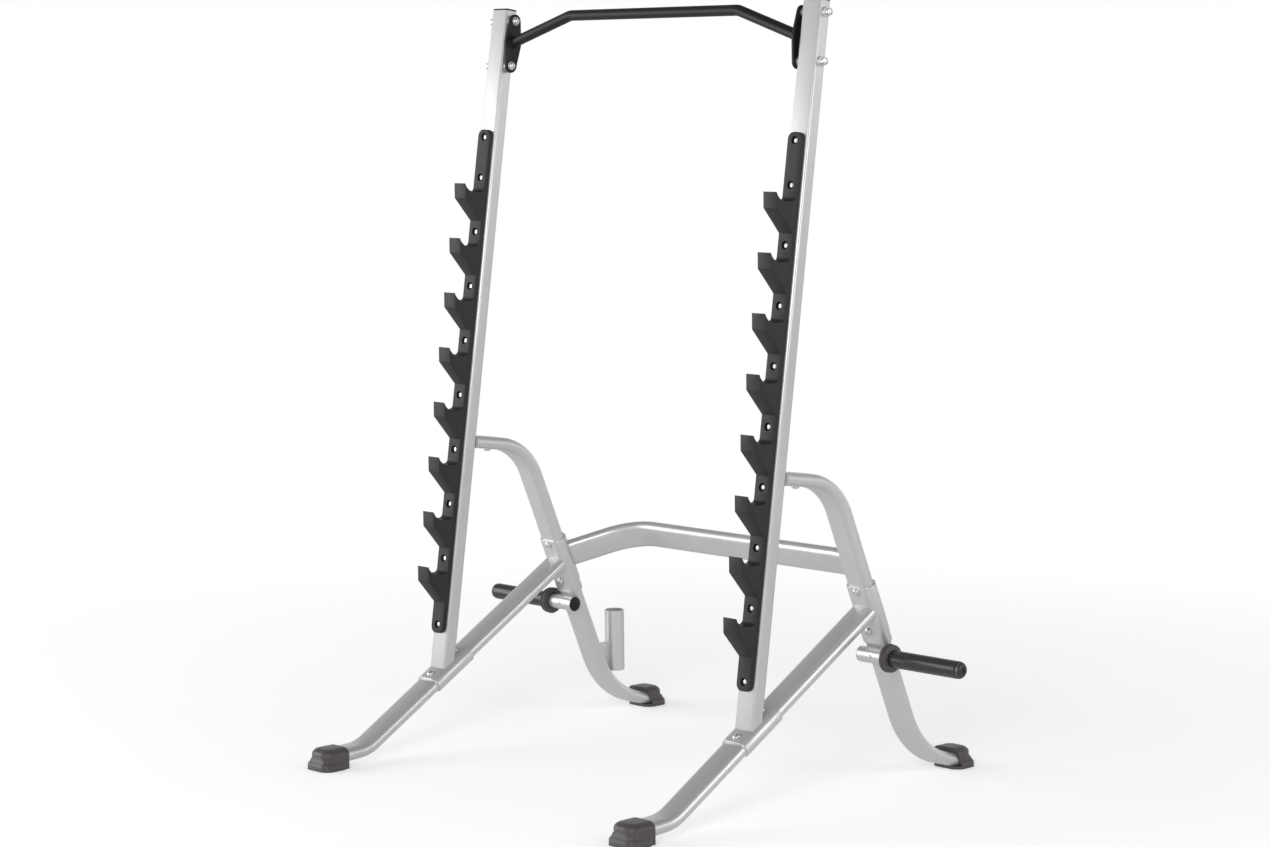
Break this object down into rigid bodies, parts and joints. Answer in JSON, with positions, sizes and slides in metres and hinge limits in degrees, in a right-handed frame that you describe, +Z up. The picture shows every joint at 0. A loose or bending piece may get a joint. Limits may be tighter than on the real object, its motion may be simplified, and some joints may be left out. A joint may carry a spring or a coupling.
{
  "type": "squat rack",
  "caption": "Open-fronted squat rack: leaning uprights with stepped hook racks, a pull-up bar, sloping oval-tube side frames, plate pegs and a tube for a spare bar.",
  "frame": {"origin": "on the floor, under the middle of the rack's overall box", "axes": "+Z up, +Y to the rear, -Y the open side where the lifter stands, +X to the right of a lifter who faces +Y"},
  "size_m": [1.86, 1.315, 2.103],
  "materials": {
    "frame_silver": "silver metallic powder coat, satin",
    "black_coat": "black powder coat, satin",
    "hook_black": "charcoal black, satin",
    "rubber": "black rubber, a little glossy",
    "zinc": "bright zinc-plated steel"
  },
  "bodies": {
    "root": {"upright_right": "frame_silver", "upright_left": "frame_silver", "low_tube_right": "frame_silver", "low_tube_left": "frame_silver", "rear_leg_right": "frame_silver", "rear_leg_left": "frame_silver", "front_sleeve_right": "frame_silver", "front_sleeve_left": "frame_silver", "rear_sleeve_right": "frame_silver", "rear_sleeve_left": "frame_silver", "cross_plate_right": "frame_silver", "cross_plate_left": "frame_silver", "cross_tube": "frame_silver", "peg_tube_right": "frame_silver", "peg_tube_left": "frame_silver", "bar_holder": "frame_silver", "holder_bracket": "frame_silver", "hook_rack_right": "hook_black", "hook_rack_left": "hook_black", "upright_cap_right": "black_coat", "upright_cap_left": "black_coat", "pull_up_bar": "black_coat", "bar_plate_right": "black_coat", "bar_plate_left": "black_coat", "peg_plug_right": "black_coat", "peg_plug_left": "black_coat", "peg_sleeve_right": "black_coat", "peg_sleeve_left": "black_coat", "peg_end_right": "black_coat", "peg_end_left": "black_coat", "front_foot_right": "rubber", "front_foot_left": "rubber", "rear_foot_right": "rubber", "rear_foot_left": "rubber", "peg_collar_right": "rubber", "peg_collar_left": "rubber", "peg_screw_right": "zinc", "peg_screw_left": "zinc", "arm_bolt_right": "zinc", "arm_bolt_left": "zinc", "low_bolt_1_right": "zinc", "low_bolt_1_left": "zinc", "low_bolt_2_right": "zinc", "low_bolt_2_left": "zinc", "leg_bolt_1_right": "zinc", "leg_bolt_1_left": "zinc", "leg_bolt_2_right": "zinc", "leg_bolt_2_left": "zinc", "bar_bolt_1_right": "zinc", "bar_bolt_1_left": "zinc", "bar_bolt_2_right": "zinc", "bar_bolt_2_left": "zinc"}
  },
  "joints": []
}
